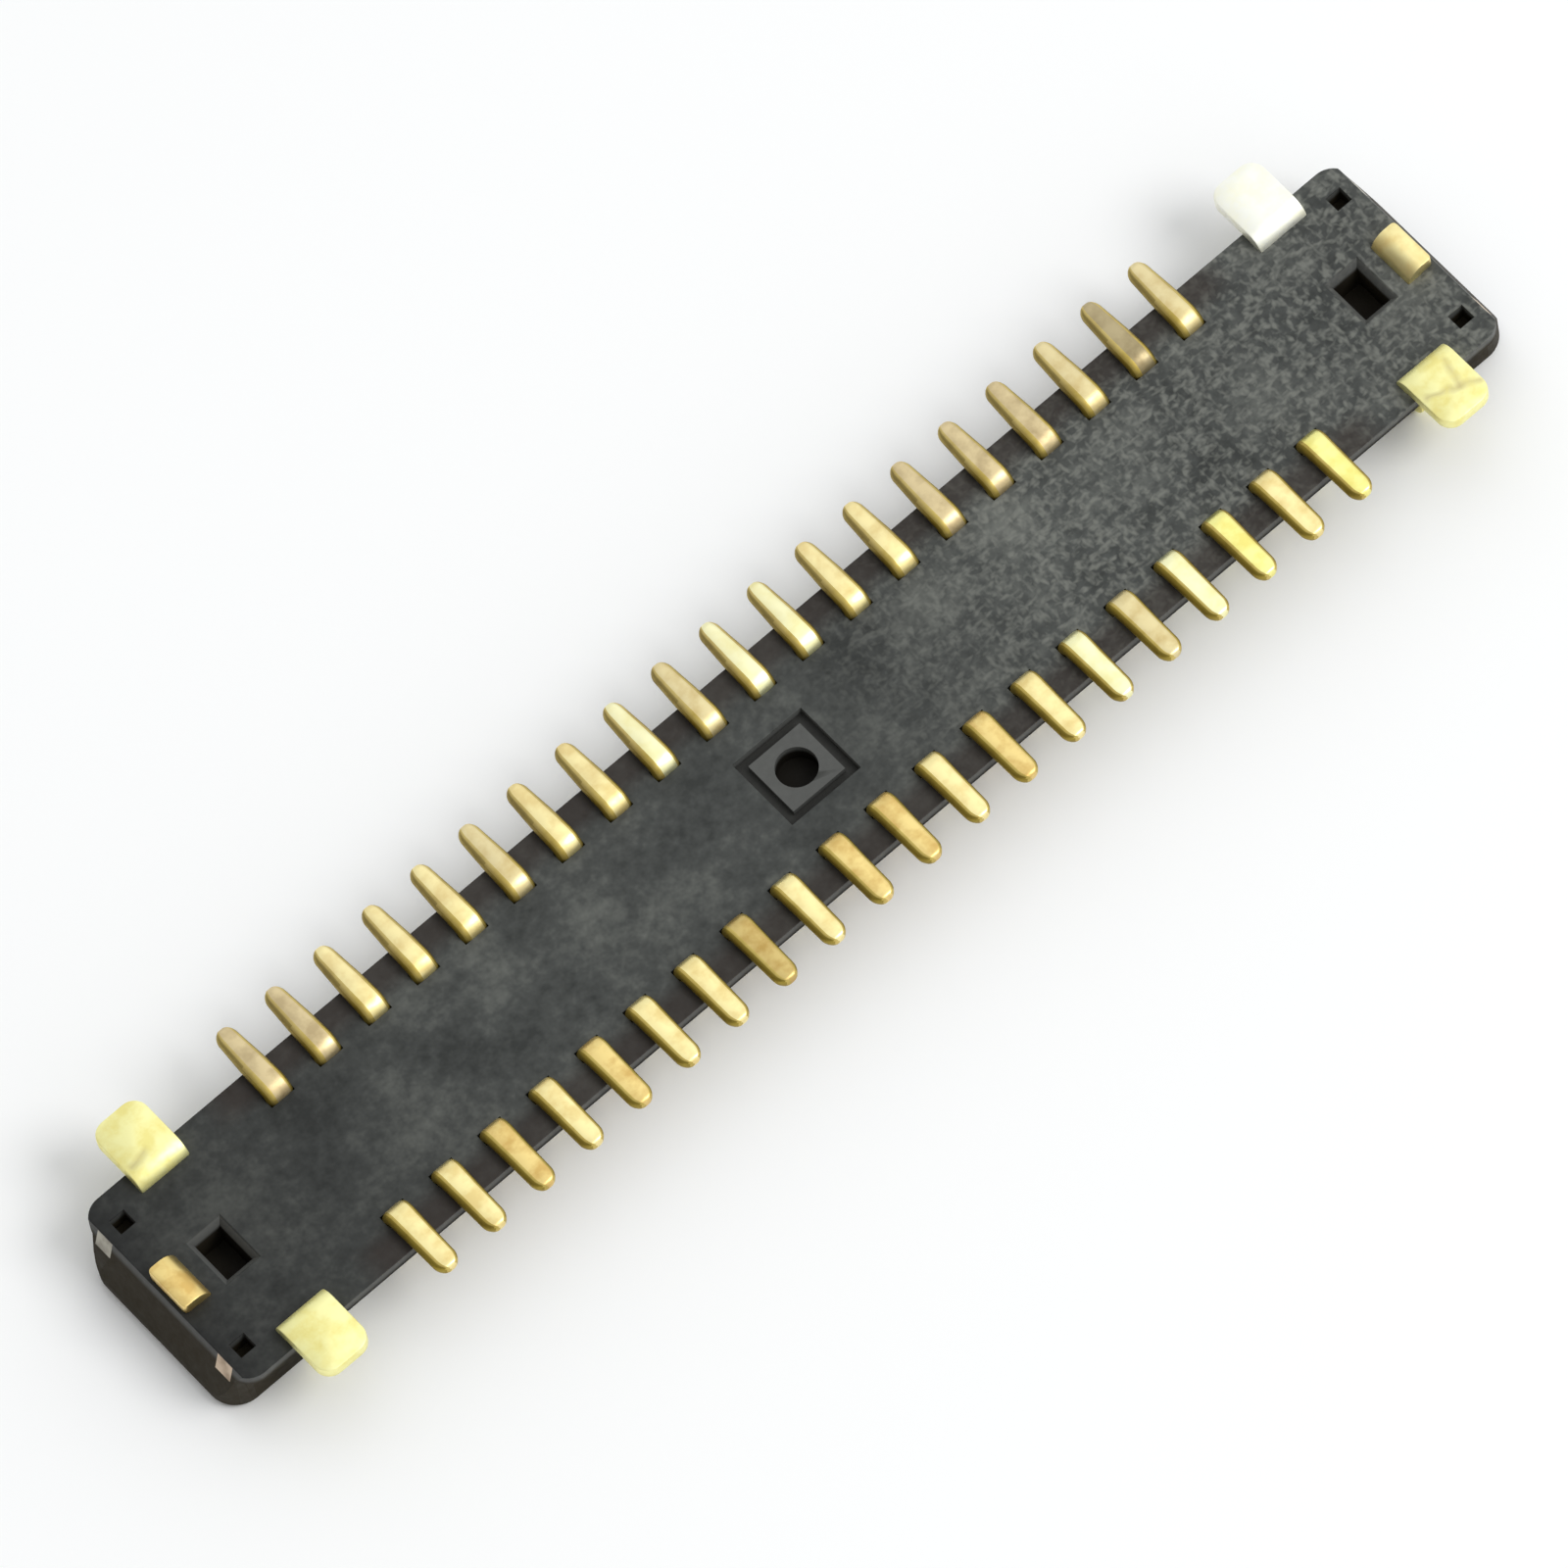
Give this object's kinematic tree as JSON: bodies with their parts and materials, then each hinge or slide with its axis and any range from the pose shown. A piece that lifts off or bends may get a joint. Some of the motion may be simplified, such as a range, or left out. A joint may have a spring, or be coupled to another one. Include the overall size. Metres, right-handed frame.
{
  "type": "board to board connector plug",
  "caption": "Fine-pitch board to board plug: flat black moulded body with rows of gold-plated solder feet wrapping its mating walls and folded hold-down tabs at its ends.",
  "frame": {"origin": "centre of the mating rim, on the surface that the plug lies on with its solder feet up", "axes": "+X along the rows of contacts, +Y across them, +Z from the mating rim to the solder plane"},
  "size_m": [0.0106, 0.0022, 0.0006],
  "materials": {
    "housing_plastic": "matte moulded",
    "contact_gold": "satin gold plate",
    "fitting_gold": "satin gold plate"
  },
  "bodies": {
    "root": {"housing": "housing_plastic", "end_fitting_left": "fitting_gold", "end_fitting_right": "fitting_gold", "contact_a01": "contact_gold", "contact_a02": "contact_gold", "contact_a03": "contact_gold", "contact_a04": "contact_gold", "contact_a05": "contact_gold", "contact_a06": "contact_gold", "contact_a07": "contact_gold", "contact_a08": "contact_gold", "contact_a09": "contact_gold", "contact_a10": "contact_gold", "contact_a11": "contact_gold", "contact_a12": "contact_gold", "contact_a13": "contact_gold", "contact_a14": "contact_gold", "contact_a15": "contact_gold", "contact_a16": "contact_gold", "contact_a17": "contact_gold", "contact_a18": "contact_gold", "contact_a19": "contact_gold", "contact_a20": "contact_gold", "contact_b01": "contact_gold", "contact_b02": "contact_gold", "contact_b03": "contact_gold", "contact_b04": "contact_gold", "contact_b05": "contact_gold", "contact_b06": "contact_gold", "contact_b07": "contact_gold", "contact_b08": "contact_gold", "contact_b09": "contact_gold", "contact_b10": "contact_gold", "contact_b11": "contact_gold", "contact_b12": "contact_gold", "contact_b13": "contact_gold", "contact_b14": "contact_gold", "contact_b15": "contact_gold", "contact_b16": "contact_gold", "contact_b17": "contact_gold", "contact_b18": "contact_gold", "contact_b19": "contact_gold", "contact_b20": "contact_gold"}
  },
  "joints": []
}
